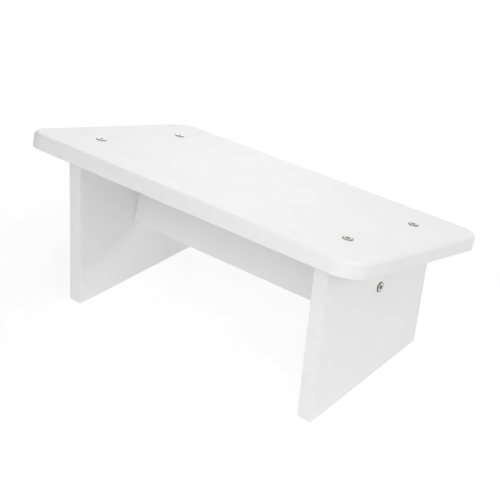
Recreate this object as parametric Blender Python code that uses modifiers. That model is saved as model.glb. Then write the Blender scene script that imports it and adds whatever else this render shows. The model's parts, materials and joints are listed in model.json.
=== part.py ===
"""A slanted wooden footrest: a board screwed onto two leg panels, with a stretcher between them.

Metres, +Z up. The origin is on the floor, under the middle of the footrest. +X runs along the
board, and -Y is the front, where the board is highest.
"""

import math

import bmesh
import bpy

for leftover in list(bpy.data.objects):
    bpy.data.objects.remove(leftover, do_unlink=True)

# Top board
BOARD_LENGTH = 0.460
BOARD_DEPTH = 0.300
BOARD_THICKNESS = 0.018
BOARD_CORNER_RADIUS = 0.030
BOARD_UPPER_ROUND = 0.005
BOARD_LOWER_ROUND = 0.001

# Leg panels: the two heights and the depth set the slope of the board
LEG_DEPTH = 0.224
LEG_FRONT_HEIGHT = 0.198
LEG_BACK_HEIGHT = 0.142
LEG_THICKNESS = 0.018
LEG_INSET = 0.046
LEG_FRONT_OVERHANG = 0.032
LEG_ARRIS = 0.001

# Stretcher: a rail on edge, square to the board
STRETCHER_HEIGHT = 0.090
STRETCHER_THICKNESS = 0.018
STRETCHER_SETBACK = 0.151
STRETCHER_ARRIS = 0.001

# Screws: a countersunk head with a hexagon socket, a plain neck and a threaded stretch
SCREW_LENGTH = 0.050
SCREW_HEAD_DIAMETER = 0.012
SCREW_HEAD_STAND = 0.0012
SCREW_HEAD_EASE = 0.0003
SCREW_HEAD_RIM = 0.0006
SCREW_NECK_DIAMETER = 0.007
SCREW_NECK_LENGTH = 0.020
SCREW_THREAD_DIAMETER = 0.0064
SCREW_TIP_DIAMETER = 0.0034
SCREW_TIP_LENGTH = 0.004
SOCKET_ACROSS_FLATS = 0.004
SOCKET_DEPTH = 0.0028
TOP_SCREW_EDGE_DISTANCE = 0.040

# Dowels: fluted pins in the ends of the stretcher, above and below its screw
DOWEL_DIAMETER = 0.008
DOWEL_LENGTH = 0.030
DOWEL_CHAMFER = 0.001
DOWEL_DEPTH_IN_LEG = 0.011
DOWEL_EDGE_DISTANCE = 0.015
FLUTE_COUNT = 12
FLUTE_DEPTH = 0.0004

# Clearances
SEAT_GAP = 0.0003
SCREW_CLEARANCE = 0.0003
SCREW_HOLE_EXTRA = 0.002
DOWEL_CLEARANCE = 0.0003
DOWEL_HOLE_EXTRA = 0.001
CUTTER_OVERSHOOT = 0.005

# How finely the round forms are cut
CORNER_SEGMENTS = 12
UPPER_ROUND_SEGMENTS = 6
SMALL_ROUND_SEGMENTS = 3
TURNED_STEPS = 32
FLUTE_POINTS = 4
WELD_DISTANCE = 0.00001
FLAT_ANGLE = math.radians(0.1)
SMOOTH_ANGLE = math.radians(40)

# Places worked out from the sizes
SLOPE = math.atan2(LEG_FRONT_HEIGHT - LEG_BACK_HEIGHT, LEG_DEPTH)
LEG_MIDDLE_X = BOARD_LENGTH / 2 - LEG_INSET - LEG_THICKNESS / 2
LEG_OUTER_X = LEG_MIDDLE_X + LEG_THICKNESS / 2
LEG_INNER_X = LEG_MIDDLE_X - LEG_THICKNESS / 2
STRETCHER_ALONG_BOARD = STRETCHER_SETBACK + STRETCHER_THICKNESS / 2 - BOARD_DEPTH / 2
STRETCHER_BELOW_BOARD = -SEAT_GAP - STRETCHER_HEIGHT / 2

# Turns an extruded outline upright, so that it lies across the length of the footrest
UPRIGHT = (math.pi / 2, 0, math.pi / 2)

SIDES = (("left", -1), ("right", 1))


def new_collection(name):
    collection = bpy.data.collections.new(name)
    bpy.context.scene.collection.children.link(collection)
    return collection


PARTS = new_collection("wooden_footrest")
CUTTERS = new_collection("cutters")


def new_material(name, color, roughness, metallic):
    material = bpy.data.materials.new(name)
    material.use_nodes = True
    shader = material.node_tree.nodes["Principled BSDF"]
    shader.inputs["Base Color"].default_value = (*color, 1)
    shader.inputs["Roughness"].default_value = roughness
    shader.inputs["Metallic"].default_value = metallic
    material.diffuse_color = (*color, 1)
    return material


WHITE_PAINT = new_material("white_paint", (0.84, 0.84, 0.83), 0.45, 0)
PLATED_STEEL = new_material("plated_steel", (0.60, 0.59, 0.57), 0.30, 1)
BEECH = new_material("beech", (0.60, 0.42, 0.25), 0.70, 0)


def solid_mesh(source, name):
    """The evaluated shape of a construction object, welded, with its flat stretches as whole faces."""
    graph = bpy.context.evaluated_depsgraph_get()
    mesh = bpy.data.meshes.new_from_object(source.evaluated_get(graph))
    mesh.name = name
    bpy.data.objects.remove(source, do_unlink=True)
    shape = bmesh.new()
    shape.from_mesh(mesh)
    bmesh.ops.remove_doubles(shape, verts=shape.verts, dist=WELD_DISTANCE)
    bmesh.ops.dissolve_limit(shape, angle_limit=FLAT_ANGLE, verts=shape.verts, edges=shape.edges)
    bmesh.ops.recalc_face_normals(shape, faces=shape.faces)
    shape.to_mesh(mesh)
    shape.free()
    return mesh


def construction(name, data):
    source = bpy.data.objects.new(name, data)
    CUTTERS.objects.link(source)
    return source


def extruded(name, outline, thickness):
    """A closed outline in XY, thickened equally to both sides."""
    curve = bpy.data.curves.new(name, "CURVE")
    curve.dimensions = "2D"
    curve.fill_mode = "BOTH"
    curve.extrude = thickness / 2
    spline = curve.splines.new("POLY")
    spline.points.add(len(outline) - 1)
    for point, (x, y) in zip(spline.points, outline):
        point.co = (x, y, 0, 1)
    spline.use_cyclic_u = True
    return solid_mesh(construction(name, curve), name)


def turned(name, profile):
    """A profile of (radius, height) points, from the top down, turned about Z."""
    line = bpy.data.meshes.new(name)
    points = [(radius, 0, height) for radius, height in profile]
    line.from_pydata(points, [(i, i + 1) for i in range(len(points) - 1)], [])
    blank = construction(name, line)
    lathe = blank.modifiers.new("lathe", "SCREW")
    lathe.axis = "Z"
    lathe.steps = TURNED_STEPS
    lathe.render_steps = TURNED_STEPS
    lathe.use_merge_vertices = True
    lathe.merge_threshold = WELD_DISTANCE
    return solid_mesh(blank, name)


def arc(center, radius, start, end, segments):
    """Points on an arc from one angle to another, both ends included."""
    angles = [start + (end - start) * step / segments for step in range(segments + 1)]
    return [(center[0] + radius * math.cos(a), center[1] + radius * math.sin(a)) for a in angles]


def rounded_rectangle(width, height, radius, segments):
    """A rectangle about the origin, with an arc at each corner."""
    points = []
    corners = ((1, 1), (-1, 1), (-1, -1), (1, -1))
    for quarter, (across, up) in enumerate(corners):
        center = (across * (width / 2 - radius), up * (height / 2 - radius))
        start = quarter * math.pi / 2
        points += arc(center, radius, start, start + math.pi / 2, segments)
    return points


def put(name, mesh, collection, parent, location, rotation=(0, 0, 0)):
    obj = bpy.data.objects.new(name, mesh)
    collection.objects.link(obj)
    obj.parent = parent
    obj.location = location
    obj.rotation_euler = rotation
    return obj


def put_part(name, mesh, material, parent, location, rotation=(0, 0, 0)):
    obj = put(name, mesh, PARTS, parent, location, rotation)
    if not mesh.materials:
        mesh.materials.append(material)
    return obj


def put_cutter(name, mesh, parent, location, rotation=(0, 0, 0)):
    obj = put(name, mesh, CUTTERS, parent, location, rotation)
    obj.hide_render = True
    obj.display_type = "WIRE"
    return obj


def combine(obj, cutter, operation="DIFFERENCE"):
    boolean = obj.modifiers.new(cutter.name, "BOOLEAN")
    boolean.operation = operation
    boolean.solver = "EXACT"
    boolean.object = cutter


def round_edges(obj, name, width, segments):
    """A round-over on every sharp edge, or on the rim whose vertex group has this name."""
    bevel = obj.modifiers.new(name, "BEVEL")
    bevel.width = width
    bevel.segments = segments
    bevel.use_clamp_overlap = False
    if name in obj.vertex_groups:
        bevel.limit_method = "VGROUP"
        bevel.vertex_group = name
    else:
        bevel.limit_method = "ANGLE"
        bevel.angle_limit = SMOOTH_ANGLE


def shade(mesh):
    mesh.shade_smooth()
    mesh.set_sharp_from_angle(angle=SMOOTH_ANGLE)


def board_reach():
    """How far the slanted board reaches to the front and to the back of the middle of its underside."""
    lower = BOARD_DEPTH / 2 - BOARD_LOWER_ROUND
    upper = BOARD_DEPTH / 2 - BOARD_UPPER_ROUND
    rise = BOARD_THICKNESS - BOARD_UPPER_ROUND
    front = lower * math.cos(SLOPE) - BOARD_LOWER_ROUND * math.sin(SLOPE) + BOARD_LOWER_ROUND
    back = upper * math.cos(SLOPE) + rise * math.sin(SLOPE) + BOARD_UPPER_ROUND
    return front, back


def make_slope_frame():
    """An empty in the middle of the board's underside, tilted with it: +Y down the slope, +Z out."""
    front, back = board_reach()
    middle_y = (front - back) / 2
    leg_front_y = middle_y - (BOARD_DEPTH / 2 - LEG_FRONT_OVERHANG) * math.cos(SLOPE)
    underside_at_leg = LEG_FRONT_HEIGHT + SEAT_GAP / math.cos(SLOPE)
    frame = bpy.data.objects.new("slope_frame", None)
    PARTS.objects.link(frame)
    frame.location = (0, middle_y, underside_at_leg + (leg_front_y - middle_y) * math.tan(SLOPE))
    frame.rotation_euler = (-SLOPE, 0, 0)
    return frame, leg_front_y


def make_top_board(frame):
    outline = rounded_rectangle(BOARD_LENGTH, BOARD_DEPTH, BOARD_CORNER_RADIUS, CORNER_SEGMENTS)
    mesh = extruded("top_board", outline, BOARD_THICKNESS)
    shade(mesh)
    board = put_part("top_board", mesh, WHITE_PAINT, frame, (0, 0, BOARD_THICKNESS / 2))
    upper_rim = board.vertex_groups.new(name="upper_rim")
    upper_rim.add([v.index for v in mesh.vertices if v.co.z > 0], 1, "REPLACE")
    lower_rim = board.vertex_groups.new(name="lower_rim")
    lower_rim.add([v.index for v in mesh.vertices if v.co.z < 0], 1, "REPLACE")
    round_edges(board, "upper_rim", BOARD_UPPER_ROUND, UPPER_ROUND_SEGMENTS)
    round_edges(board, "lower_rim", BOARD_LOWER_ROUND, SMALL_ROUND_SEGMENTS)
    return board


def make_legs(leg_front_y):
    """Upright panels with plumb edges, a level foot and a top edge cut on the slope."""
    outline = [(0, 0), (LEG_DEPTH, 0), (LEG_DEPTH, LEG_BACK_HEIGHT), (0, LEG_FRONT_HEIGHT)]
    mesh = extruded("leg", outline, LEG_THICKNESS)
    shade(mesh)
    legs = {}
    for side, sign in SIDES:
        place = (sign * LEG_MIDDLE_X, leg_front_y, 0)
        legs[side] = put_part(f"{side}_leg", mesh, WHITE_PAINT, None, place, UPRIGHT)
        round_edges(legs[side], "arris", LEG_ARRIS, SMALL_ROUND_SEGMENTS)
    return legs


def make_stretcher(frame):
    outline = rounded_rectangle(
        STRETCHER_THICKNESS, STRETCHER_HEIGHT, STRETCHER_ARRIS, SMALL_ROUND_SEGMENTS
    )
    mesh = extruded("stretcher", outline, 2 * (LEG_INNER_X - SEAT_GAP))
    shade(mesh)
    place = (0, STRETCHER_ALONG_BOARD, STRETCHER_BELOW_BOARD)
    return put_part("stretcher", mesh, WHITE_PAINT, frame, place, UPRIGHT)


def cone_bottom():
    """Where the cone under the head, which is as deep as it is wide, runs into the neck."""
    flare = (SCREW_HEAD_DIAMETER - SCREW_NECK_DIAMETER) / 2
    return SCREW_HEAD_STAND - SCREW_HEAD_RIM - flare


def screw_mesh():
    """The screw on its own axis, with the surface that its head stands out of at height 0."""
    head = SCREW_HEAD_DIAMETER / 2
    neck = SCREW_NECK_DIAMETER / 2
    thread = SCREW_THREAD_DIAMETER / 2
    tip = SCREW_HEAD_STAND - SCREW_LENGTH
    profile = [
        (0, SCREW_HEAD_STAND),
        (head - SCREW_HEAD_EASE, SCREW_HEAD_STAND),
        (head, SCREW_HEAD_STAND - SCREW_HEAD_EASE),
        (head, SCREW_HEAD_STAND - SCREW_HEAD_RIM),
        (neck, cone_bottom()),
        (neck, -SCREW_NECK_LENGTH),
        (thread, -SCREW_NECK_LENGTH - (neck - thread)),
        (thread, tip + SCREW_TIP_LENGTH),
        (SCREW_TIP_DIAMETER / 2, tip),
        (0, tip),
    ]
    blank = put("screw_blank", turned("screw_blank", profile), CUTTERS, None, (0, 0, 0))
    socket_mesh = bpy.data.meshes.new("hexagon_socket")
    hexagon = bmesh.new()
    bmesh.ops.create_cone(
        hexagon,
        cap_ends=True,
        segments=6,
        radius1=SOCKET_ACROSS_FLATS / math.sqrt(3),
        radius2=SOCKET_ACROSS_FLATS / math.sqrt(3),
        depth=2 * SOCKET_DEPTH,
    )
    hexagon.to_mesh(socket_mesh)
    hexagon.free()
    socket = put_cutter("hexagon_socket", socket_mesh, None, (0, 0, SCREW_HEAD_STAND))
    combine(blank, socket)
    mesh = solid_mesh(blank, "screw")
    bpy.data.objects.remove(socket, do_unlink=True)
    shade(mesh)
    return mesh


def screw_hole_mesh():
    """The countersink, the clearance hole and the pilot hole in one stepped cutter.

    At the surface the countersink is wider than the head, by the clearance all round.
    """
    neck = SCREW_NECK_DIAMETER / 2 + SCREW_CLEARANCE
    surface = SCREW_HEAD_DIAMETER / 2 + SCREW_CLEARANCE
    mouth = surface + CUTTER_OVERSHOOT * (surface - neck) / -cone_bottom()
    pilot = SCREW_THREAD_DIAMETER / 2 + SCREW_CLEARANCE
    bottom = SCREW_HEAD_STAND - SCREW_LENGTH - SCREW_HOLE_EXTRA
    profile = [
        (0, CUTTER_OVERSHOOT),
        (mouth, CUTTER_OVERSHOOT),
        (neck, cone_bottom()),
        (neck, -SCREW_NECK_LENGTH),
        (pilot, -SCREW_NECK_LENGTH - (neck - pilot)),
        (pilot, bottom),
        (0, bottom),
    ]
    return turned("screw_hole", profile)


def dowel_mesh():
    """A turned pin with chamfered ends, cut down to a fluted outline.

    The facets of the turned blank stand just outside the crests of the flutes.
    """
    radius = DOWEL_DIAMETER / 2
    blank = radius / math.cos(math.pi / TURNED_STEPS)
    half = DOWEL_LENGTH / 2
    profile = [
        (0, half),
        (blank - DOWEL_CHAMFER, half),
        (blank, half - DOWEL_CHAMFER),
        (blank, DOWEL_CHAMFER - half),
        (blank - DOWEL_CHAMFER, -half),
        (0, -half),
    ]
    pin = put("dowel_blank", turned("dowel_blank", profile), CUTTERS, None, (0, 0, 0))
    outline = []
    count = FLUTE_COUNT * FLUTE_POINTS
    for step in range(count):
        turn = 2 * math.pi * step / count
        flute = 1 - math.cos(FLUTE_COUNT * turn)
        reach = radius - FLUTE_DEPTH * flute / 2
        outline.append((reach * math.cos(turn), reach * math.sin(turn)))
    flutes = put_cutter("flutes", extruded("flutes", outline, 2 * DOWEL_LENGTH), None, (0, 0, 0))
    combine(pin, flutes, "INTERSECT")
    mesh = solid_mesh(pin, "dowel")
    bpy.data.objects.remove(flutes, do_unlink=True)
    shade(mesh)
    return mesh


def dowel_hole_mesh():
    radius = DOWEL_DIAMETER / 2 + DOWEL_CLEARANCE
    half = DOWEL_LENGTH / 2 + DOWEL_HOLE_EXTRA
    return turned("dowel_hole", [(0, half), (radius, half), (radius, -half), (0, -half)])


def fasten_top(frame, board, legs, leg_front_y, screw, hole):
    """Two screws through the board into the top edge of each leg."""
    first = leg_front_y - frame.location.y + TOP_SCREW_EDGE_DISTANCE
    last = first + LEG_DEPTH - 2 * TOP_SCREW_EDGE_DISTANCE
    for side, sign in SIDES:
        for row, level_y in (("front", first), ("back", last)):
            place = (sign * LEG_MIDDLE_X, level_y / math.cos(SLOPE), BOARD_THICKNESS)
            put_part(f"top_screw_{side}_{row}", screw, PLATED_STEEL, frame, place)
            cutter = put_cutter(f"top_hole_{side}_{row}", hole, frame, place)
            combine(board, cutter)
            combine(legs[side], cutter)


def fasten_stretcher(frame, stretcher, legs, screw, hole):
    """One screw through each leg into the middle of the stretcher's end."""
    for side, sign in SIDES:
        place = (sign * LEG_OUTER_X, STRETCHER_ALONG_BOARD, STRETCHER_BELOW_BOARD)
        outward = (0, sign * math.pi / 2, 0)
        put_part(f"side_screw_{side}", screw, PLATED_STEEL, frame, place, outward)
        cutter = put_cutter(f"side_hole_{side}", hole, frame, place, outward)
        combine(legs[side], cutter)
        combine(stretcher, cutter)


def add_dowels(frame, stretcher, legs, dowel, hole):
    """A dowel above and below each side screw, part in the leg and part in the stretcher."""
    middle_x = LEG_INNER_X + DOWEL_DEPTH_IN_LEG - DOWEL_LENGTH / 2
    from_middle = STRETCHER_HEIGHT / 2 - DOWEL_EDGE_DISTANCE
    for side, sign in SIDES:
        for level, up in (("upper", 1), ("lower", -1)):
            height = STRETCHER_BELOW_BOARD + up * from_middle
            place = (sign * middle_x, STRETCHER_ALONG_BOARD, height)
            outward = (0, sign * math.pi / 2, 0)
            put_part(f"dowel_{side}_{level}", dowel, BEECH, frame, place, outward)
            cutter = put_cutter(f"dowel_hole_{side}_{level}", hole, frame, place, outward)
            combine(legs[side], cutter)
            combine(stretcher, cutter)


def main():
    frame, leg_front_y = make_slope_frame()
    board = make_top_board(frame)
    legs = make_legs(leg_front_y)
    stretcher = make_stretcher(frame)
    screw = screw_mesh()
    screw_hole = screw_hole_mesh()
    fasten_top(frame, board, legs, leg_front_y, screw, screw_hole)
    fasten_stretcher(frame, stretcher, legs, screw, screw_hole)
    add_dowels(frame, stretcher, legs, dowel_mesh(), dowel_hole_mesh())
    bpy.context.view_layer.update()


main()
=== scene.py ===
# %% [markdown]
# # The finished look of a slanted footrest
#
# This lesson dresses a footrest that has already been built as plain solids. The solids fix the
# size and the place of every piece, and this file gives each piece its fine shape and its finish.
# The real footrest is four painted boards: a round-cornered board for the feet, two leg panels,
# and a stretcher between them. Six screws and four dowels hold it together.
#
# The solids are loaded first, so nothing has to be measured twice.

# %% Load the solids
import json
import math

import bmesh
import bpy
from mathutils import Matrix, Vector


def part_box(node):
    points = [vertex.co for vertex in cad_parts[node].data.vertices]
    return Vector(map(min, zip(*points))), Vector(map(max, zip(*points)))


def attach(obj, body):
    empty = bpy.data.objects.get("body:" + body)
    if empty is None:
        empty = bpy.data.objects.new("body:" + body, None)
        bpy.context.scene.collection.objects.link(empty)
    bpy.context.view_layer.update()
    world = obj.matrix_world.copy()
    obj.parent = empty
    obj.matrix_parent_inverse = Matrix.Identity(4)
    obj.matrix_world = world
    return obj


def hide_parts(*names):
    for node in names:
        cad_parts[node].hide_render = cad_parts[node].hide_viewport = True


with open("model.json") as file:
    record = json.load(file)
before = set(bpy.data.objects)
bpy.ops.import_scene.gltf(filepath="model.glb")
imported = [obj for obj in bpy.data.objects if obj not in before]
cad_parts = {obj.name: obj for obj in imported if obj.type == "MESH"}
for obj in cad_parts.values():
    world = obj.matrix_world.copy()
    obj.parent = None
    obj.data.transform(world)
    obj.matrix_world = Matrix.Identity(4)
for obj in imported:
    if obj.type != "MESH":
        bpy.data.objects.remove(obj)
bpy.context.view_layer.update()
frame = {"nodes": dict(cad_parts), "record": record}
print("Solids:", ", ".join(sorted(frame["nodes"])))

# %% [markdown]
# ## The slope
#
# The board slopes down from the front to the back, and the stretcher and the four screws through
# the board are square to it. Working along the slope is easier than working in level coordinates,
# so this cell makes a matrix whose origin is the middle of the board's upper face. Its Y axis runs
# down the slope and its Z axis stands out of the board. The record of the part gives both.
#
# A solid can then be measured along whichever axes suit it. The vertices are turned into those
# axes before the lowest and the highest corner are taken, so a slanted board gives its true length,
# depth and thickness.

# %% Find the slope and measure along it
foot_surface = next(m for m in frame["record"]["mounts"] if m["name"] == "foot_surface")
SLOPE = math.atan2(foot_surface["axis"][1], foot_surface["axis"][2])
ON_SLOPE = Matrix.Translation(foot_surface["pos_m"]) @ Matrix.Rotation(-SLOPE, 4, "X")


def points_along(node, axes):
    """The vertices of a solid in the axes of a matrix."""
    turn_back = axes.inverted()
    return [turn_back @ vertex.co for vertex in frame["nodes"][node].data.vertices]


def box_along(node, axes):
    """The lowest and the highest corner of a solid, measured along the axes of a matrix."""
    points = points_along(node, axes)
    low = Vector([min(p[axis] for p in points) for axis in range(3)])
    high = Vector([max(p[axis] for p in points) for axis in range(3)])
    return low, high


board_low, board_high = box_along("top_board", ON_SLOPE)
BOARD_LENGTH, BOARD_DEPTH, BOARD_THICKNESS = board_high - board_low
print(f"The board slopes by {math.degrees(SLOPE):.2f} degrees")
print(f"It is {BOARD_LENGTH:.3f} x {BOARD_DEPTH:.3f} x {BOARD_THICKNESS:.3f} m")

# %% [markdown]
# ## The camera
#
# The photograph looks down on the front right corner with a slightly long lens, and the horizon
# is tipped by a few degrees. A camera is easy to describe by where it looks from: the direction as
# two angles, the point in the middle of the picture, the distance to it, and the tip of the
# horizon. These numbers were found by fitting the straight edges of the boards to the photograph.

# %% Set up the camera
VIEW_AZIMUTH = math.radians(35.34)
VIEW_ELEVATION = math.radians(28.40)
VIEW_ROLL = math.radians(4.78)
VIEW_MIDDLE = Vector((-0.0220, 0.0350, 0.0746))
VIEW_DISTANCE = 1.350
LENS_MM = 78.1
SENSOR_MM = 36

back_level = Vector((math.sin(VIEW_AZIMUTH), -math.cos(VIEW_AZIMUTH), 0)) * math.cos(VIEW_ELEVATION)
view_back = back_level + Vector((0, 0, math.sin(VIEW_ELEVATION)))
camera_data = bpy.data.cameras.new("camera")
camera_data.sensor_width = SENSOR_MM
camera_data.lens = LENS_MM
camera = bpy.data.objects.new("camera", camera_data)
bpy.context.scene.collection.objects.link(camera)
look = (-view_back).to_track_quat("-Z", "Y").to_matrix().to_4x4()
camera.matrix_world = (
    Matrix.Translation(VIEW_MIDDLE + VIEW_DISTANCE * view_back)
    @ look
    @ Matrix.Rotation(VIEW_ROLL, 4, "Z")
)
bpy.context.scene.camera = camera
print("The camera stands at", [round(x, 3) for x in camera.matrix_world.translation])

# %% [markdown]
# ## Building with nodes
#
# Light, finishes and some of the shapes below are all node trees, so one small helper pays for
# itself: it adds a node, sets its options, and feeds each input with either a plain value or
# the output of an earlier node. Reading a tree then feels like reading a recipe from top to bottom.

# %% A helper for nodes


def add_node(tree, kind, inputs=None, **options):
    """Adds a node, with its options set and its inputs fed by values or by other nodes' outputs."""
    node = tree.nodes.new(kind)
    for name, value in options.items():
        setattr(node, name, value)
    for name, value in (inputs or {}).items():
        if isinstance(value, bpy.types.NodeSocket):
            tree.links.new(value, node.inputs[name])
        else:
            node.inputs[name].default_value = value
    return node


def calc(tree, operation, *values):
    """A Math node's result."""
    return add_node(tree, "ShaderNodeMath", dict(enumerate(values)), operation=operation).outputs[0]


# %% [markdown]
# ## White surroundings
#
# The footrest stands in a white studio. The light that falls on it should stay at a plain level, so
# the surroundings have two strengths: full white for rays that come straight from the camera or by
# way of a mirror-like or clear surface, and a softer level for the light that the boards receive.
# The Light Path node tells these rays apart.

# %% The world
WORLD_LEVEL = 0.25
WHITE = (1, 1, 1, 1)


def seen_directly(tree):
    """1 for camera, glossy and transmission rays, and 0 for the rest."""
    rays = add_node(tree, "ShaderNodeLightPath").outputs
    seen = calc(tree, "MAXIMUM", rays["Is Camera Ray"], rays["Is Glossy Ray"])
    return calc(tree, "MAXIMUM", seen, rays["Is Transmission Ray"])


def mix_shaders(tree, factor, first, second):
    return add_node(tree, "ShaderNodeMixShader", {0: factor, 1: first, 2: second}).outputs[0]


world = bpy.data.worlds.new("white_studio")
world.use_nodes = True
world.node_tree.nodes.clear()
soft = add_node(world.node_tree, "ShaderNodeBackground", {"Color": WHITE, "Strength": WORLD_LEVEL})
plain = add_node(world.node_tree, "ShaderNodeBackground", {"Color": WHITE, "Strength": 1})
around = mix_shaders(world.node_tree, seen_directly(world.node_tree), soft.outputs[0], plain.outputs[0])
add_node(world.node_tree, "ShaderNodeOutputWorld", {"Surface": around})
bpy.context.scene.world = world
bpy.context.scene.view_settings.view_transform = "Standard"
print(f"The world lights at {WORLD_LEVEL} and shows as white")

# %% [markdown]
# ## The floor
#
# The floor tells the rays apart in the same way. Seen directly it is mostly a glow, a little stronger
# than plain white. Near the footrest a share of ordinary matt floor is mixed in, so the shadow still shows
# there, and further out the share fades away.
#
# For the rays that light the boards it is a matt pale floor. Near the footrest it also glows a little,
# like a studio table that is lit from below, and this keeps the lower ends of the legs from darkening.
#
# From below the floor is clear, so the underside can be looked at. The feet would still look black from
# there, because hardly any light gets between them and the floor. So the floor glows more for the rays
# that have only a hair's breadth to go, which are those under the feet.

# %% Lay the floor
FLOOR_RADIUS = 6
FLOOR_STEPS = 96
FLOOR_DROP = 0.0002
FLOOR_COLOR = (0.95, 0.95, 0.95, 1)
FLOOR_WHITE = 1.1
SHADOW_SHARE = 0.3
SHADOW_NEAR = 0.35
SHADOW_FAR = 0.9
TABLE_LIGHT = 0.16
TABLE_NEAR = 0.3
TABLE_FAR = 0.45
FOOT_LIGHT = 0.8
FOOT_ROOM = 0.001


def glow(tree, strength):
    return add_node(tree, "ShaderNodeEmission", {"Color": WHITE, "Strength": strength}).outputs[0]


def matt(tree, color):
    return add_node(tree, "ShaderNodeBsdfDiffuse", {"Color": color}).outputs[0]


def fade_out(tree, distance, near, far, level):
    """A level that falls to 0 between a near and a far distance."""
    inputs = {"Value": distance, "From Min": near, "From Max": far, "To Min": level, "To Max": 0}
    return add_node(tree, "ShaderNodeMapRange", inputs).outputs["Result"]


def mix_floor():
    finish = bpy.data.materials.new("studio_floor")
    finish.use_nodes = True
    tree = finish.node_tree
    tree.nodes.clear()
    place = add_node(tree, "ShaderNodeTexCoord").outputs["Object"]
    away = add_node(tree, "ShaderNodeVectorMath", {0: place}, operation="LENGTH").outputs["Value"]
    share = fade_out(tree, away, SHADOW_NEAR, SHADOW_FAR, SHADOW_SHARE)
    shown = mix_shaders(tree, share, glow(tree, FLOOR_WHITE), matt(tree, WHITE))

    table_glow = glow(tree, fade_out(tree, away, TABLE_NEAR, TABLE_FAR, TABLE_LIGHT))
    table = add_node(tree, "ShaderNodeAddShader", {0: matt(tree, FLOOR_COLOR), 1: table_glow}).outputs[0]
    ray_length = add_node(tree, "ShaderNodeLightPath").outputs["Ray Length"]
    under_foot = calc(tree, "LESS_THAN", ray_length, FOOT_ROOM)
    lighting = mix_shaders(tree, under_foot, table, glow(tree, FOOT_LIGHT))

    upper = mix_shaders(tree, seen_directly(tree), lighting, shown)
    clear = add_node(tree, "ShaderNodeBsdfTransparent").outputs[0]
    from_below = add_node(tree, "ShaderNodeNewGeometry").outputs["Backfacing"]
    add_node(tree, "ShaderNodeOutputMaterial", {"Surface": mix_shaders(tree, from_below, upper, clear)})
    return finish


floor_mesh = bpy.data.meshes.new("floor")
disc = bmesh.new()
bmesh.ops.create_circle(disc, cap_ends=True, radius=FLOOR_RADIUS, segments=FLOOR_STEPS)
bmesh.ops.translate(disc, verts=disc.verts, vec=(0, 0, -FLOOR_DROP))
disc.to_mesh(floor_mesh)
disc.free()
floor_mesh.materials.append(mix_floor())
floor = bpy.data.objects.new("floor", floor_mesh)
bpy.context.scene.collection.objects.link(floor)
print(f"The floor is {2 * FLOOR_RADIUS} m across")

# %% [markdown]
# ## Soft lamps
#
# In the photograph the upper face is the lightest, and the outside of the right leg and the front
# edges come next. The inside of the far leg and the stretcher are the darkest, and they darken
# towards the board and lighten towards the floor. Much of their light must come up from the white
# floor, as it does in a photo studio.
#
# Square area lamps give such soft light. Two stand low behind the footrest, on the left and on the
# right. The right one reaches the outside of the right leg, and leaves the faint shadow close under the
# board's near corner. Three hang overhead. Two point straight down, in front and beside the near
# corner, so that the floor throws their light up again. The powers were found by fitting the tones of the
# faces to those in the photograph.

# %% Hang the lamps
MIDDLE = (0, 0, 0.1)


def hang_lamp(name, place, size, watts, aim=MIDDLE):
    """A square lamp that shines from a place towards an aim, and that the camera doesn't see."""
    data = bpy.data.lights.new(name, "AREA")
    data.size = size
    data.energy = watts
    lamp = bpy.data.objects.new(name, data)
    bpy.context.scene.collection.objects.link(lamp)
    away = Vector(place) - Vector(aim)
    lamp.matrix_world = Matrix.Translation(place) @ away.to_track_quat("Z", "Y").to_matrix().to_4x4()
    lamp.visible_camera = False


hang_lamp("back_left_lamp", place=(-1.2, 1.2, 0.4), size=1.2, watts=3.5)
hang_lamp("back_right_lamp", place=(1.5, 1.3, 0.55), size=0.3, watts=6.3)
hang_lamp("front_overhead_lamp", place=(0, -2.5, 3), size=2.5, watts=22.1)
hang_lamp("right_overhead_lamp", place=(0.7, -0.3, 0.9), size=0.8, watts=3.1)
hang_lamp("back_overhead_lamp", place=(0, 0.35, 0.8), size=0.4, watts=1.8)
hang_lamp("front_floor_lamp", place=(0.2, -1.3, 0.8), size=1, watts=6.8, aim=(0.2, -1.3, 0))
hang_lamp("near_floor_lamp", place=(0.6, -0.7, 0.5), size=0.5, watts=0.8, aim=(0.6, -0.7, 0))

# %% [markdown]
# ## White paint
#
# The boards wear a smooth satin white. Seen close to, no paint is one flat colour: it is
# a little thinner or thicker from place to place, its sheen wanders, and the spray leaves a fine
# dimpled skin like that of an orange. Wide soft noise shifts the tone by about one part in a
# hundred, a finer noise moves the roughness, and the finest one drives a shallow bump. A picture of
# paint could give all of this too, but noise needs no file and has no seams.
#
# All of it reads Object coordinates. The finished pieces sit at the origin with their places in
# their meshes, so the pattern runs on from board to board and never slides.

# %% Mix the paint
PAINT_TONES = (0.849, 0.849, 0.849, 1), (0.861, 0.861, 0.861, 1)
PAINT_ROUGHNESS = 0.40, 0.52
PAINT_CLOUDS = 14
PAINT_SHEEN_SPOTS = 60
PAINT_DIMPLES = 420
PAINT_DIMPLE_DEPTH = 0.0001
PAINT_DIMPLE_STRENGTH = 0.25
NOISE_LOW = 1 / 3
NOISE_HIGH = 2 / 3
PLAIN_DETAIL = 2
FINE_DETAIL = 4


def new_finish(name):
    """A material, its node tree, its shader and the Object coordinates to lay patterns on."""
    finish = bpy.data.materials.new(name)
    finish.use_nodes = True
    tree = finish.node_tree
    place = add_node(tree, "ShaderNodeTexCoord").outputs["Object"]
    return finish, tree, tree.nodes["Principled BSDF"], place


def noise(tree, place, scale, detail=PLAIN_DETAIL):
    """A noise between 0 and 1, with about that many spots to the metre. It keeps near the middle."""
    inputs = {"Vector": place, "Scale": scale, "Detail": detail}
    return add_node(tree, "ShaderNodeTexNoise", inputs).outputs["Fac"]


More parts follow.
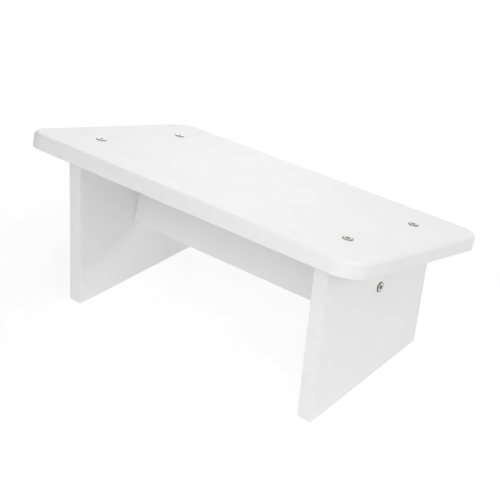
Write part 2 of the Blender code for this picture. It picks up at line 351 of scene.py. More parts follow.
def blend_colors(tree, factor, first, second):
    """A colour that goes from the first to the second over the range that a noise mostly keeps to."""
    ramp = add_node(tree, "ShaderNodeValToRGB", {"Fac": factor})
    ramp.color_ramp.elements[0].position = NOISE_LOW
    ramp.color_ramp.elements[1].position = NOISE_HIGH
    ramp.color_ramp.elements[0].color = first
    ramp.color_ramp.elements[1].color = second
    return ramp.outputs["Color"]


def spread(tree, value, low, high):
    """A value that goes from low to high over the range that a noise mostly keeps to."""
    inputs = {"Value": value, "From Min": NOISE_LOW, "From Max": NOISE_HIGH, "To Min": low, "To Max": high}
    return add_node(tree, "ShaderNodeMapRange", inputs).outputs["Result"]


def roughen(tree, shader, height, strength, depth):
    """A bump that follows a noise, with its depth in metres."""
    inputs = {"Height": height, "Strength": strength, "Distance": depth}
    tree.links.new(add_node(tree, "ShaderNodeBump", inputs).outputs["Normal"], shader.inputs["Normal"])


def mix_white_paint():
    finish, tree, shader, place = new_finish("satin_white")
    tone = blend_colors(tree, noise(tree, place, PAINT_CLOUDS, FINE_DETAIL), *PAINT_TONES)
    sheen = spread(tree, noise(tree, place, PAINT_SHEEN_SPOTS), *PAINT_ROUGHNESS)
    tree.links.new(tone, shader.inputs["Base Color"])
    tree.links.new(sheen, shader.inputs["Roughness"])
    roughen(tree, shader, noise(tree, place, PAINT_DIMPLES), PAINT_DIMPLE_STRENGTH, PAINT_DIMPLE_DEPTH)
    return finish


WHITE_PAINT = mix_white_paint()
print("Mixed", WHITE_PAINT.name)

# %% [markdown]
# ## Bare board
#
# Where a hole is drilled through the paint, the board shows its brown, fibrous inside. Its tones here are
# darker and greyer than bare board in the open, as painted shade for the narrow rings in the holes. Only
# narrow rings of it are ever seen, so two fine noises are enough: one for the fibres and one for the pits
# between them.

# %% Mix the bare board
# Partly the board's own colour and partly painted shade: these tones are darkened for the shaded rings in
# the holes.
BARE_AND_SHADE_TONES = (0.15, 0.13, 0.11, 1), (0.24, 0.21, 0.18, 1)
BARE_ROUGHNESS = 0.9
BARE_FIBRES = 1500
BARE_PITS = 2500
BARE_PIT_DEPTH = 0.0002
BARE_PIT_STRENGTH = 0.6


def mix_bare_board():
    finish, tree, shader, place = new_finish("bare_board_and_painted_shade")
    tone = blend_colors(tree, noise(tree, place, BARE_FIBRES, FINE_DETAIL), *BARE_AND_SHADE_TONES)
    tree.links.new(tone, shader.inputs["Base Color"])
    shader.inputs["Roughness"].default_value = BARE_ROUGHNESS
    roughen(tree, shader, noise(tree, place, BARE_PITS), BARE_PIT_STRENGTH, BARE_PIT_DEPTH)
    return finish


BARE_BOARD_AND_SHADE = mix_bare_board()
print("Mixed", BARE_BOARD_AND_SHADE.name)

# %% [markdown]
# ## Plated steel
#
# The screws are turned from steel and plated. The marks of the tool run in rings round the axis. The colour
# also carries painted light and shade: a band on the flat of the head is painted light as a painted
# highlight, and the rim and the socket are painted dark as painted shade. All of that goes by the distance
# from the axis. Object coordinates don't know where a screw's axis is, so this finish reads an attribute
# that the screw's own node tree stores on the mesh, with the distance from the axis and the height.
#
# The Mix node has a pair of inputs called A and B for each kind of data, so those for colours are
# picked by number here.

# %% Mix the plated steel
# Painted shade and painted highlight: the socket and the rim are painted dark, the flat of the head is
# painted light.
PAINTED_SHADE_STEEL = (0.25, 0.235, 0.212, 1), (0.35, 0.328, 0.3, 1)
PAINTED_HIGHLIGHT_STEEL = (0.58, 0.555, 0.52, 1), (0.71, 0.685, 0.65, 1)
STEEL_ROUGHNESS = 0.22, 0.38
STEEL_STAINS = 250
HIGHLIGHT_FROM = 0.0029
HIGHLIGHT_TO = 0.0046
HIGHLIGHT_FADE = 0.0004
TOOL_MARKS = 4000
TOOL_MARK_DEPTH = 0.00002
TOOL_MARK_STRENGTH = 0.15
MIX_FACTOR = 0
MIX_COLOR_A = 6
MIX_COLOR_B = 7
MIXED_COLOR = 2


def mix_plated_steel():
    finish, tree, shader, place = new_finish("plating_painted_light_and_shade")
    turned = add_node(tree, "ShaderNodeAttribute", attribute_name="turned").outputs["Vector"]
    distance = add_node(tree, "ShaderNodeSeparateXYZ", {"Vector": turned}).outputs["X"]
    # Between these radii the flat of the head gets the painted highlight; the socket inside and the rim
    # outside keep the painted shade.
    inner = {"Value": distance, "From Min": HIGHLIGHT_FROM - HIGHLIGHT_FADE, "From Max": HIGHLIGHT_FROM}
    outer = {"Value": distance, "From Min": HIGHLIGHT_TO + HIGHLIGHT_FADE, "From Max": HIGHLIGHT_TO}
    painted_highlight_band = [add_node(tree, "ShaderNodeMapRange", edge).outputs["Result"] for edge in (inner, outer)]
    painted_highlight_band = calc(tree, "MINIMUM", *painted_highlight_band)
    rings = noise(tree, turned, TOOL_MARKS)
    stain = noise(tree, place, STEEL_STAINS)
    # Two tones: a painted-shade steel and a painted-highlight steel, each with random stains.
    shaded_tone = blend_colors(tree, stain, *PAINTED_SHADE_STEEL)
    highlit_tone = blend_colors(tree, stain, *PAINTED_HIGHLIGHT_STEEL)
    colors = {MIX_FACTOR: painted_highlight_band, MIX_COLOR_A: shaded_tone, MIX_COLOR_B: highlit_tone}
    tone = add_node(tree, "ShaderNodeMix", colors, data_type="RGBA").outputs[MIXED_COLOR]
    tree.links.new(tone, shader.inputs["Base Color"])
    tree.links.new(spread(tree, rings, *STEEL_ROUGHNESS), shader.inputs["Roughness"])
    shader.inputs["Metallic"].default_value = 1
    roughen(tree, shader, rings, TOOL_MARK_STRENGTH, TOOL_MARK_DEPTH)
    return finish


PLATED_STEEL = mix_plated_steel()
print("Mixed", PLATED_STEEL.name)

# %% [markdown]
# ## Beech
#
# The dowels are bare beech, with fine grain along their length. That is along X, so a Mapping node
# stretches their noise in that direction, and one noise then serves for the colour and the bump.

# %% Mix the beech
BEECH_TONES = (0.50, 0.32, 0.18, 1), (0.66, 0.47, 0.29, 1)
BEECH_ROUGHNESS = 0.65
BEECH_GRAIN = 1200
BEECH_STRETCH = 25
BEECH_GRAIN_DEPTH = 0.0001
BEECH_GRAIN_STRENGTH = 0.4


def mix_beech():
    finish, tree, shader, place = new_finish("bare_beech")
    stretch = {"Vector": place, "Scale": (1 / BEECH_STRETCH, 1, 1)}
    along = add_node(tree, "ShaderNodeMapping", stretch).outputs[0]
    grain = noise(tree, along, BEECH_GRAIN, FINE_DETAIL)
    tree.links.new(blend_colors(tree, grain, *BEECH_TONES), shader.inputs["Base Color"])
    shader.inputs["Roughness"].default_value = BEECH_ROUGHNESS
    roughen(tree, shader, grain, BEECH_GRAIN_STRENGTH, BEECH_GRAIN_DEPTH)
    return finish


BEECH = mix_beech()
print("Mixed", BEECH.name)

# %% [markdown]
# ## One rule for everything round
#
# A screw, a dowel and a drilled hole are turned: a profile is carried round a circle. The board's
# edge is a profile too, carried round a rectangle with round corners. That is the same rule, because
# such a rectangle is a circle that has been cut into quarters and pulled apart.
#
# The Screw modifier could turn the first kind but not the second, and it has no way to press a fading
# thread into a closed skin. Geometry Nodes can hold the rule once. The object's own mesh is the profile,
# a line of points with X as the distance from the axis and Z as the height, listed from the bottom up.
# The tree makes a flat grid with one row for each of these points, and moves every vertex of the grid to
# its place: its row says which point of the profile it takes, and its column how far round it goes.
# A merge closes the seam and the poles. Before the vertices move, a tree may reshape the distance from
# the axis, which is how threads and flutes come in later.
#
# Each quarter of the round has a column at both of its ends, so that a straight stretch can lie between
# one quarter and the next. The last column falls on the first one.

# %% Write the rule as nodes
WELD = 0.000002
QUARTERS = 4
QUARTER = 2 * math.pi / QUARTERS


def new_tree(name, inputs):
    """A Geometry Nodes tree, its inputs by name, and its output."""
    tree = bpy.data.node_groups.new(name, "GeometryNodeTree")
    sockets = {"Profile": "Geometry", "Quarter Steps": "Int", "Finish": "Material", **inputs}
    for label, kind in sockets.items():
        tree.interface.new_socket(label, in_out="INPUT", socket_type=f"NodeSocket{kind}")
    tree.interface.new_socket("Geometry", in_out="OUTPUT", socket_type="NodeSocketGeometry")
    return tree, add_node(tree, "NodeGroupInput").outputs, add_node(tree, "NodeGroupOutput").inputs


def carry_round(tree, given, straight=(0, 0), reshape=None):
    """Carries the profile round a circle, or round a rectangle with that much straight edge each way."""
    profile = given["Profile"]
    sizes = add_node(tree, "GeometryNodeAttributeDomainSize", {"Geometry": profile})
    rows = sizes.outputs["Point Count"]
    in_quarter = calc(tree, "ADD", given["Quarter Steps"], 1)
    columns = calc(tree, "MULTIPLY_ADD", in_quarter, QUARTERS, 1)
    grid = add_node(tree, "GeometryNodeMeshGrid", {"Vertices X": columns, "Vertices Y": rows})
    index = add_node(tree, "GeometryNodeInputIndex").outputs[0]
    row = calc(tree, "MODULO", index, rows)
    column = calc(tree, "FLOOR", calc(tree, "DIVIDE", index, rows))

    quarter = calc(tree, "FLOOR", calc(tree, "DIVIDE", column, in_quarter))
    step = calc(tree, "MODULO", column, in_quarter)
    part = calc(tree, "DIVIDE", step, given["Quarter Steps"])
    turn = calc(tree, "MULTIPLY", calc(tree, "ADD", quarter, part), QUARTER)
    diagonal = calc(tree, "MULTIPLY_ADD", quarter, QUARTER, QUARTER / 2)

    position = add_node(tree, "GeometryNodeInputPosition").outputs[0]
    sample = {"Geometry": profile, "Value": position, "Index": row}
    point = add_node(tree, "GeometryNodeSampleIndex", sample, data_type="FLOAT_VECTOR").outputs[0]
    point = add_node(tree, "ShaderNodeSeparateXYZ", {"Vector": point}).outputs
    reach, height = point["X"], point["Z"]
    if reshape:
        reach = reshape(tree, given, reach, height, turn)

    across = calc(tree, "MULTIPLY", calc(tree, "SIGN", calc(tree, "COSINE", diagonal)), straight[0])
    along = calc(tree, "MULTIPLY", calc(tree, "SIGN", calc(tree, "SINE", diagonal)), straight[1])
    x = calc(tree, "MULTIPLY_ADD", reach, calc(tree, "COSINE", turn), calc(tree, "DIVIDE", across, 2))
    y = calc(tree, "MULTIPLY_ADD", reach, calc(tree, "SINE", turn), calc(tree, "DIVIDE", along, 2))
    place = add_node(tree, "ShaderNodeCombineXYZ", {"X": x, "Y": y, "Z": height}).outputs[0]
    moved = add_node(tree, "GeometryNodeSetPosition", {"Geometry": grid.outputs["Mesh"], "Position": place})
    weld = {"Geometry": moved.outputs[0], "Distance": WELD}
    return add_node(tree, "GeometryNodeMergeByDistance", weld).outputs[0]


def end_tree(tree, given, output, shape):
    """Ends a tree with real geometry in its finish."""
    real = add_node(tree, "GeometryNodeRealizeInstances", {"Geometry": shape}).outputs[0]
    dressed = add_node(tree, "GeometryNodeSetMaterial", {"Geometry": real, "Material": given["Finish"]})
    tree.links.new(dressed.outputs[0], output[0])
    print("Tree", tree.name, "has", len(tree.nodes), "nodes")
    return tree


def turned_tree():
    tree, given, output = new_tree("turned_piece", {})
    return end_tree(tree, given, output, carry_round(tree, given))


TURNED = turned_tree()

# %% [markdown]
# ## From a tree to a plain mesh
#
# A tree only shows its result while its modifier is there, and a finished piece should be a plain
# mesh. This helper sets the modifier's inputs by the sockets' identifiers, lets Blender work the
# result out once, keeps that as a mesh and removes the modifier. Faces are then shaded smooth, with
# sharp edges where two faces meet at a clear angle, and the normals are weighted by area, so a large
# flat face stays flat right up to its rounded edge.

# %% Helpers that make plain meshes
SHARP_ANGLE = math.radians(32)


def new_object(name, mesh):
    obj = bpy.data.objects.new(name, mesh)
    bpy.context.scene.collection.objects.link(obj)
    return obj


def settle(obj):
    """Works out an object's modifiers, keeps the result as its mesh, and removes the modifiers."""
    graph = bpy.context.evaluated_depsgraph_get()
    mesh = bpy.data.meshes.new_from_object(obj.evaluated_get(graph))
    mesh.name = obj.name
    obj.modifiers.clear()
    obj.data = mesh
    return mesh


def grow(name, tree, profile, inputs):
    """An object whose mesh comes from a tree and a profile of (distance, height) points."""
    line = bpy.data.meshes.new(name)
    points = [(distance, 0, height) for distance, height in profile]
    line.from_pydata(points, [(i, i + 1) for i in range(len(points) - 1)], [])
    obj = new_object(name, line)
    modifier = obj.modifiers.new(tree.name, "NODES")
    modifier.node_group = tree
    sockets = {item.name: item.identifier for item in tree.interface.items_tree if item.in_out == "INPUT"}
    for label, value in inputs.items():
        modifier[sockets[label]] = value
    mesh = settle(obj)
    mesh.materials.clear()
    mesh.materials.append(inputs["Finish"])
    mesh.polygons.foreach_set("material_index", [0] * len(mesh.polygons))
    return obj


def smooth(obj):
    """Smooth shading with sharp edges, and flat faces that stay flat."""
    obj.data.shade_smooth()
    obj.data.set_sharp_from_angle(angle=SHARP_ANGLE)
    weights = obj.modifiers.new("weights", "WEIGHTED_NORMAL")
    weights.keep_sharp = True
    settle(obj)


def arc(center, radius, start, end, steps):
    """Points on an arc between two angles in degrees, both ends included."""
    angles = [math.radians(start + (end - start) * i / steps) for i in range(steps + 1)]
    return [(center[0] + radius * math.cos(a), center[1] + radius * math.sin(a)) for a in angles]


# %% [markdown]
# ## Drilled holes
#
# Each screw sits in a stepped hole: a countersink for the head, a clearance hole for the plain neck
# and a narrower pilot hole for the thread. Each dowel has a plain hole with a little room at its
# ends for glue. A drill makes such a hole by turning, so the cutter is a turned piece as well. It
# carries the bare board's finish, and the Boolean modifier hands that finish on to the faces that
# it cuts, so the paint stops at the edge of each hole.
#
# The screws through the board are driven until their heads are tight in the countersink. The countersinks
# in the sides of the legs are wider, and leave a dark ring round the head: a real gap, lined with the bare
# board's tone, which is darkened as painted shade.

# %% Make the cutters
MM = 1000
HOLE_STEPS = 16
SCREW_LOW, SCREW_HIGH = box_along("side_screw_right", ON_SLOPE)
LEG_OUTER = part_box("right_leg")[1].x
HEAD_RADIUS = (SCREW_HIGH.y - SCREW_LOW.y) / 2
HEAD_STAND = SCREW_HIGH.x - LEG_OUTER
SCREW_LENGTH = SCREW_HIGH.x - SCREW_LOW.x
HEAD_RIM = 0.0006
NECK_RADIUS = 0.0035
NECK_LENGTH = 0.020
CREST_RADIUS = 0.0032
CONE_BOTTOM = HEAD_STAND - HEAD_RIM - (HEAD_RADIUS - NECK_RADIUS)
CLEARANCE = 0.0003
HAIRLINE = 0.00005
HOLE_EXTRA = 0.002
OVERSHOOT = 0.003


def screw_cutter(name, mouth):
    """A cutter for a screw's hole, with the radius that the countersink has at the surface."""
    neck = NECK_RADIUS + CLEARANCE
    pilot = CREST_RADIUS + CLEARANCE
    flare = (mouth - neck) / -CONE_BOTTOM
    bottom = HEAD_STAND - SCREW_LENGTH - HOLE_EXTRA
    profile = [
        (0, bottom),
        (pilot, bottom),
        (pilot, -NECK_LENGTH - (neck - pilot)),
        (neck, -NECK_LENGTH),
        (neck, CONE_BOTTOM),
        (mouth + flare * OVERSHOOT, OVERSHOOT),
        (0, OVERSHOOT),
    ]
    return grow(name, TURNED, profile, {"Quarter Steps": HOLE_STEPS, "Finish": BARE_BOARD_AND_SHADE})


DOWEL_LOW, DOWEL_HIGH = box_along("dowel_right_upper", ON_SLOPE)
DOWEL_RADIUS = (DOWEL_HIGH.y - DOWEL_LOW.y) / 2
DOWEL_LENGTH = DOWEL_HIGH.x - DOWEL_LOW.x
DOWEL_ROOM = 0.001


def dowel_cutter():
    radius = DOWEL_RADIUS + CLEARANCE
    half = DOWEL_LENGTH / 2 + DOWEL_ROOM
    profile = [(0, -half), (radius, -half), (radius, half), (0, half)]
    return grow("dowel_cutter", TURNED, profile, {"Quarter Steps": HOLE_STEPS, "Finish": BARE_BOARD_AND_SHADE})


TOP_CUTTER = screw_cutter("top_cutter", NECK_RADIUS - CONE_BOTTOM + HAIRLINE)
SIDE_CUTTER = screw_cutter("side_cutter", HEAD_RADIUS + CLEARANCE)
DOWEL_CUTTER = dowel_cutter()
print(f"Screw heads are {2 * HEAD_RADIUS * MM:.1f} mm across and stand {HEAD_STAND * MM:.2f} mm proud")
print(f"Dowels are {2 * DOWEL_RADIUS * MM:.1f} x {DOWEL_LENGTH * MM:.1f} mm")

# %% [markdown]
# ## Where the screws and dowels go
#
# The solids say where each screw and dowel sits. A top screw stands square to the board, and its
# place is the middle of its solid, at the height of the board's upper face. A side screw points
# outwards through a leg, so its matrix is turned by a quarter about Y. These matrices are used twice:
# once for the cutters and once for the pieces that fill the holes. Each screw was driven until it was
# tight, so its socket ended up at an angle of its own.

# %% Collect the places
SIDES = {"left": -1, "right": 1}
FIRST_SOCKET_ANGLE = math.radians(11)
NEXT_SOCKET_ANGLE = math.radians(23)


def middle_of(node):
    low, high = box_along(node, ON_SLOPE)
    return (low + high) / 2


top_places = {}
side_places = {}
dowel_places = {}
for side, sign in SIDES.items():
    outward = Matrix.Rotation(sign * QUARTER, 4, "Y")
    for row in ("front", "back"):
        middle = middle_of(f"top_screw_{side}_{row}")
        top_places[f"top_screw_{side}_{row}"] = ON_SLOPE @ Matrix.Translation((middle.x, middle.y, 0))
    middle = middle_of(f"side_screw_{side}")
    mouth = Matrix.Translation((sign * LEG_OUTER, middle.y, middle.z))
    side_places[f"side_screw_{side}"] = ON_SLOPE @ mouth @ outward
    for level in ("upper", "lower"):
        middle = middle_of(f"dowel_{side}_{level}")
        dowel_places[f"dowel_{side}_{level}"] = ON_SLOPE @ Matrix.Translation(middle) @ outward
print(len(top_places), "top screws,", len(side_places), "side screws,", len(dowel_places), "dowels")

# %% [markdown]
# ## The board for the feet
#
# The board is cut from one sheet with round corners. Its upper edge is rounded over, so that it is
# kind to bare feet, and its lower edge is only eased. The radii are read off the solid. Its front face is
# as high as the part of the edge that isn't rounded, and it ends where the corners begin.

# %% Read the radii off the solid
NEAR = 0.00002


def board_radii():
    """The radius of the corners, of the upper edge and of the lower edge."""
    points = points_along("top_board", ON_SLOPE)
    front = [p for p in points if p.y < board_low.y + NEAR]
    corner = BOARD_LENGTH / 2 - max(p.x for p in front)
    upper = board_high.z - max(p.z for p in front)
    lower = min(p.z for p in front) - board_low.z
    return corner, upper, lower


CORNER, UPPER_ROUND, LOWER_ROUND = board_radii()
print(f"The corners have a radius of {CORNER * MM:.1f} mm")
print(f"The upper edge has {UPPER_ROUND * MM:.1f} mm and the lower edge {LOWER_ROUND * MM:.1f} mm")

# %% [markdown]
# The board follows the rule from above, with straight stretches between the quarters. The profile is
# the section through the edge, and the distance in it is counted from the middle of a corner's arc.
# The rule leaves the flat upper and lower face open, so two plain faces close them. Only then
# are the holes drilled, because a Boolean needs a closed solid.

# %% Make the board
BOARD_STEPS = 24
ROUND_STEPS = 10


def drill(board, cutter, places):
    """Cuts a hole at each place, with the cutter's finish inside it."""
    for place in places:
        tool = new_object("tool", cutter.data.copy())
        tool.data.transform(place)
        cut = board.modifiers.new("hole", "BOOLEAN")
        cut.operation = "DIFFERENCE"
        cut.solver = "EXACT"
        cut.material_mode = "TRANSFER"
        cut.object = tool
        settle(board)
        bpy.data.objects.remove(tool, do_unlink=True)


def board_tree():
    tree, given, output = new_tree("edge_round_board", {"Straight X": "Float", "Straight Y": "Float"})
    straight = (given["Straight X"], given["Straight Y"])
    return end_tree(tree, given, output, carry_round(tree, given, straight))


def make_board():
    lower_middle = (CORNER - LOWER_ROUND, LOWER_ROUND - BOARD_THICKNESS)
    upper_middle = (CORNER - UPPER_ROUND, -UPPER_ROUND)
    profile = arc(lower_middle, LOWER_ROUND, -90, 0, ROUND_STEPS)
    profile += arc(upper_middle, UPPER_ROUND, 0, 90, ROUND_STEPS)
    sizes = {
        "Quarter Steps": BOARD_STEPS,
        "Finish": WHITE_PAINT,
        "Straight X": BOARD_LENGTH - 2 * CORNER,
        "Straight Y": BOARD_DEPTH - 2 * CORNER,
    }
    board = grow("top_board_painted", board_tree(), profile, sizes)
    shape = bmesh.new()
    shape.from_mesh(board.data)
    bmesh.ops.holes_fill(shape, edges=[e for e in shape.edges if e.is_boundary])
    shape.to_mesh(board.data)
    shape.free()
    board.data.transform(ON_SLOPE)
    drill(board, TOP_CUTTER, top_places.values())
    smooth(board)
    return board


BOARD = make_board()
print(BOARD.name, "has", len(BOARD.data.polygons), "faces")

# %% [markdown]
# ## The leg panels
#
# A leg is a flat panel that stands upright. Its foot is level, its front and back edges are plumb,
# and its top edge is sawn on the slope to carry the board. The outline has four corners, so a few
# lines of bmesh make it: four points, one face, one extrusion across the thickness. All its
# edges are then broken with a small rounding, as sandpaper would leave them before painting.
#
# The solids keep a small gap where two pieces touch. On the real footrest the screws pull the
# joints tight, so here the panel reaches up until only a hairline is left.

# %% Make the legs
ARRIS = 0.001
ARRIS_STEPS = 5
ROUND_PROFILE = 0.5
UNDERSIDE = ON_SLOPE @ Vector((0, 0, -BOARD_THICKNESS))


def underside_height(y):
    """How high the board's underside is at a distance towards the back."""
    return UNDERSIDE.z - (y - UNDERSIDE.y) * math.tan(SLOPE)


def panel(name, outline, across):
    """A flat outline extruded by a vector, with all its edges rounded."""
    mesh = bpy.data.meshes.new(name)
    shape = bmesh.new()
    face = shape.faces.new([shape.verts.new(point) for point in outline])
    extruded = bmesh.ops.extrude_face_region(shape, geom=[face])["geom"]
    new_points = [item for item in extruded if isinstance(item, bmesh.types.BMVert)]
    bmesh.ops.translate(shape, verts=new_points, vec=across)
    bmesh.ops.recalc_face_normals(shape, faces=shape.faces)
    bmesh.ops.bevel(
        shape,
        geom=shape.edges,
        offset=ARRIS,
        segments=ARRIS_STEPS,
        profile=ROUND_PROFILE,
        affect="EDGES",
        clamp_overlap=False,
    )
    shape.to_mesh(mesh)
    shape.free()
    mesh.materials.append(WHITE_PAINT)
    return new_object(name, mesh)


def make_leg(side):
    low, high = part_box(f"{side}_leg")
    top_front = underside_height(low.y) - HAIRLINE
    top_back = underside_height(high.y) - HAIRLINE
    corners = [(low.y, low.z), (high.y, low.z), (high.y, top_back), (low.y, top_front)]
    outline = [(low.x, y, z) for y, z in corners]
    leg = panel(f"{side}_leg_painted", outline, (high.x - low.x, 0, 0))
    drill(leg, TOP_CUTTER, [place for node, place in top_places.items() if side in node])
    drill(leg, SIDE_CUTTER, [side_places[f"side_screw_{side}"]])
    drill(leg, DOWEL_CUTTER, [place for node, place in dowel_places.items() if side in node])
    smooth(leg)
    print(f"{leg.name}: {top_front * MM:.1f} mm high in front and {top_back * MM:.1f} mm behind")
    return leg


LEGS = {side: make_leg(side) for side in SIDES}

# %% [markdown]
# ## The stretcher
#
# The stretcher is a rail on edge. It runs from leg to leg right under the board, square to the
# slope, and keeps the legs from racking. Its ends butt against the legs. All its edges are eased a
# little before painting, which leaves the fine dark line that shows where it meets a leg. It is the
# same kind of panel as a leg, drawn on the slope and turned into place.

# %% Make the stretcher


def make_stretcher():
    low, high = box_along("stretcher", ON_SLOPE)
    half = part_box("right_leg")[0].x - HAIRLINE
    top = -BOARD_THICKNESS - HAIRLINE
    corners = [(low.y, low.z), (high.y, low.z), (high.y, top), (low.y, top)]
    outline = [(-half, y, z) for y, z in corners]
    rail = panel("stretcher_painted", outline, (2 * half, 0, 0))
    rail.data.transform(ON_SLOPE)
    drill(rail, SIDE_CUTTER, side_places.values())
    drill(rail, DOWEL_CUTTER, dowel_places.values())
    smooth(rail)
    print(f"{rail.name}: {2 * half * MM:.1f} mm long and {(top - low.z) * MM:.1f} mm high")
    return rail


STRETCHER = make_stretcher()

# %% [markdown]
# ## The screws
#
# These are furniture screws: a flat countersunk head with a hexagon socket, a plain neck and
# a coarse thread that bites into the board. The profile holds the blank, bottom up, with many close
# rows along the thread. The tree reshapes their distance from the axis: a triangle wave that climbs
# by one pitch in every turn presses the grooves into the blank, and it fades out towards the neck and
# the tip. Since the wave depends on both height and turn, the thread comes out as a true helix on one
# closed skin, which separate ridges set on a rod would not be.
#
# The socket is cut afterwards with a six-sided cylinder, inside the same tree. The shallow cone
# round its mouth, which guides the key, is part of the profile. Last, each vertex is told its distance
# from the axis and its height, while the screw still stands upright at the origin.

# %% Make a screw
SCREW_STEPS = 16
PITCH = 0.003
GROOVE_DEPTH = 0.0010
ROWS_PER_PITCH = 14
TIP_RADIUS = 0.0017
TIP_LENGTH = 0.004
HEAD_EASE = 0.0003
EASE_STEPS = 5
SOCKET_SIDES = 6
SOCKET_FLATS = 0.004
SOCKET_DEPTH = 0.0028
LEAD_RADIUS = 0.0025
LEAD_DEPTH = 0.0002


def cut_groove(tree, given, reach, height, turn):
    """Presses a helical groove into the stretch between the thread's ends."""
    turns = calc(tree, "DIVIDE", turn, QUARTERS * QUARTER)
    wave = calc(tree, "ADD", calc(tree, "DIVIDE", height, given["Pitch"]), turns)
    # Ping-pong runs up to a half and down again, so twice that is a wave from 0 to 1 in every pitch.
    depth = calc(tree, "MULTIPLY", calc(tree, "PINGPONG", wave, 0.5), 2)
    fade = {
        "Value": height,
        "From Min": given["Thread End"],
        "From Max": calc(tree, "SUBTRACT", given["Thread End"], given["Pitch"]),
    }
    fading = add_node(tree, "ShaderNodeMapRange", fade, interpolation_type="SMOOTHSTEP").outputs[0]
    share = calc(tree, "DIVIDE", reach, CREST_RADIUS)
    groove = calc(tree, "MULTIPLY", calc(tree, "MULTIPLY", depth, fading), given["Groove Depth"])
    return calc(tree, "SUBTRACT", reach, calc(tree, "MULTIPLY", groove, share))


def mark_turned(tree, shape):
    """Stores the distance from the axis and the height on each vertex, for the finish to read."""
    position = add_node(tree, "GeometryNodeInputPosition").outputs[0]
    height = add_node(tree, "ShaderNodeSeparateXYZ", {"Vector": position}).outputs["Z"]
    level = add_node(tree, "ShaderNodeVectorMath", {0: position, 1: (1, 1, 0)}, operation="MULTIPLY")
    distance = add_node(tree, "ShaderNodeVectorMath", {0: level.outputs[0]}, operation="LENGTH")
    marks = add_node(tree, "ShaderNodeCombineXYZ", {"X": distance.outputs["Value"], "Z": height}).outputs[0]
    stored = {"Geometry": shape, "Name": "turned", "Value": marks}
    return add_node(tree, "GeometryNodeStoreNamedAttribute", stored, data_type="FLOAT_VECTOR").outputs[0]


def screw_tree():
    sizes = ("Pitch", "Groove Depth", "Thread End", "Head Top", "Socket Flats", "Socket Depth")
    tree, given, output = new_tree("furniture_screw", {size: "Float" for size in sizes})
    blank = carry_round(tree, given, reshape=cut_groove)
    flats_to_radius = 2 * math.cos(math.pi / SOCKET_SIDES)
    key = {
        "Vertices": SOCKET_SIDES,
        "Radius": calc(tree, "DIVIDE", given["Socket Flats"], flats_to_radius),
        "Depth": calc(tree, "MULTIPLY", given["Socket Depth"], 2),
    }
    hexagon = add_node(tree, "GeometryNodeMeshCylinder", key).outputs["Mesh"]
    top = add_node(tree, "ShaderNodeCombineXYZ", {"Z": given["Head Top"]}).outputs[0]
    hexagon = add_node(tree, "GeometryNodeTransform", {"Geometry": hexagon, "Translation": top}).outputs[0]
    cut = {"Mesh 1": blank, "Mesh 2": hexagon}
    drilled = add_node(tree, "GeometryNodeMeshBoolean", cut, operation="DIFFERENCE", solver="EXACT")
    return end_tree(tree, given, output, mark_turned(tree, drilled.outputs[0]))


def screw_profile():
    tip = HEAD_STAND - SCREW_LENGTH
    thread_end = -NECK_LENGTH - (NECK_RADIUS - CREST_RADIUS)
    rows = math.ceil((thread_end - tip - TIP_LENGTH) / PITCH * ROWS_PER_PITCH)
    tip_rows = math.ceil(TIP_LENGTH / PITCH * ROWS_PER_PITCH)
    taper = (CREST_RADIUS - TIP_RADIUS) / tip_rows
    profile = [(0, tip)]
    profile += [(TIP_RADIUS + taper * i, tip + TIP_LENGTH * i / tip_rows) for i in range(tip_rows)]
    start = tip + TIP_LENGTH
    profile += [(CREST_RADIUS, start + (thread_end - start) * i / rows) for i in range(rows + 1)]
    profile += [(NECK_RADIUS, -NECK_LENGTH), (NECK_RADIUS, CONE_BOTTOM)]
    profile += [(HEAD_RADIUS, HEAD_STAND - HEAD_RIM)]
    profile += arc((HEAD_RADIUS - HEAD_EASE, HEAD_STAND - HEAD_EASE), HEAD_EASE, 0, 90, EASE_STEPS)
    profile += [(LEAD_RADIUS, HEAD_STAND), (LEAD_RADIUS - 2 * LEAD_DEPTH, HEAD_STAND - LEAD_DEPTH)]
    profile += [(0, HEAD_STAND - LEAD_DEPTH)]
    return profile, thread_end


def make_screw():
    profile, thread_end = screw_profile()
    sizes = {
        "Quarter Steps": SCREW_STEPS,
        "Finish": PLATED_STEEL,
        "Pitch": PITCH,
        "Groove Depth": GROOVE_DEPTH,
        "Thread End": thread_end,
        "Head Top": HEAD_STAND,
        "Socket Flats": SOCKET_FLATS,
        "Socket Depth": SOCKET_DEPTH,
    }
    screw = grow("screw_pattern", screw_tree(), profile, sizes)
    smooth(screw)
    return screw


SCREW = make_screw()
print("A screw has", len(SCREW.data.polygons), "faces")

# %% [markdown]
# ## The dowels
#
# A dowel is a short beech pin with flutes along it, which let air and spare glue out of the hole, and
# with chamfered ends that find the hole easily. It is one more turned piece. Here the wave depends
# on the turn alone, so the grooves run straight along the pin.

# %% Make a dowel
DOWEL_STEPS = 24
FLUTE_COUNT = 12
FLUTE_DEPTH = 0.0004
DOWEL_CHAMFER = 0.001
DOWEL_ROWS = 12


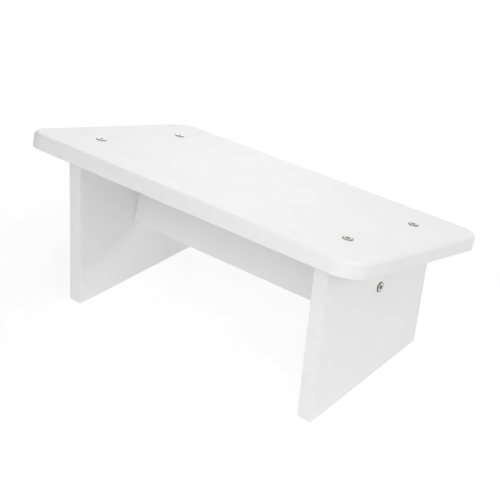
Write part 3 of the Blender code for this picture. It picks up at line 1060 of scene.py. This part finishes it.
def press_flutes(tree, given, reach, height, turn):
    """Presses straight grooves along the pin."""
    wave = calc(tree, "COSINE", calc(tree, "MULTIPLY", turn, given["Flutes"]))
    depth = calc(tree, "MULTIPLY", calc(tree, "SUBTRACT", 1, wave), 0.5)
    share = calc(tree, "DIVIDE", reach, DOWEL_RADIUS)
    groove = calc(tree, "MULTIPLY", calc(tree, "MULTIPLY", depth, share), given["Flute Depth"])
    return calc(tree, "SUBTRACT", reach, groove)


def make_dowel():
    tree, given, output = new_tree("fluted_dowel", {"Flutes": "Int", "Flute Depth": "Float"})
    end_tree(tree, given, output, carry_round(tree, given, reshape=press_flutes))
    half = DOWEL_LENGTH / 2
    body = half - DOWEL_CHAMFER
    profile = [(0, -half), (DOWEL_RADIUS - DOWEL_CHAMFER, -half)]
    profile += [(DOWEL_RADIUS, -body + 2 * body * i / DOWEL_ROWS) for i in range(DOWEL_ROWS + 1)]
    profile += [(DOWEL_RADIUS - DOWEL_CHAMFER, half), (0, half)]
    sizes = {
        "Quarter Steps": DOWEL_STEPS,
        "Finish": BEECH,
        "Flutes": FLUTE_COUNT,
        "Flute Depth": FLUTE_DEPTH,
    }
    dowel = grow("dowel_pattern", tree, profile, sizes)
    smooth(dowel)
    return dowel


DOWEL = make_dowel()
print("A dowel has", len(DOWEL.data.polygons), "faces")

# %% [markdown]
# ## Put everything in place
#
# Every screw and dowel gets a mesh of its own, moved to its place, while its object stays at the origin.
# Each finished piece then stands for its solid and moves with the part's one body. The patterns and the
# cutters have done their work and are removed.

# %% Seat the pieces


def seat(piece, node):
    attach(piece, "root")
    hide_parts(node)


seat(BOARD, "top_board")
for side, leg in LEGS.items():
    seat(leg, f"{side}_leg")
seat(STRETCHER, "stretcher")

for count, (node, place) in enumerate({**top_places, **side_places}.items()):
    socket_turn = Matrix.Rotation(FIRST_SOCKET_ANGLE + count * NEXT_SOCKET_ANGLE, 4, "Z")
    screw = new_object(f"{node}_plated", SCREW.data.copy())
    screw.data.transform(place @ socket_turn)
    seat(screw, node)

for node, place in dowel_places.items():
    dowel = new_object(f"{node}_beech", DOWEL.data.copy())
    dowel.data.transform(place)
    seat(dowel, node)

for pattern in (SCREW, DOWEL, TOP_CUTTER, SIDE_CUTTER, DOWEL_CUTTER):
    bpy.data.objects.remove(pattern, do_unlink=True)
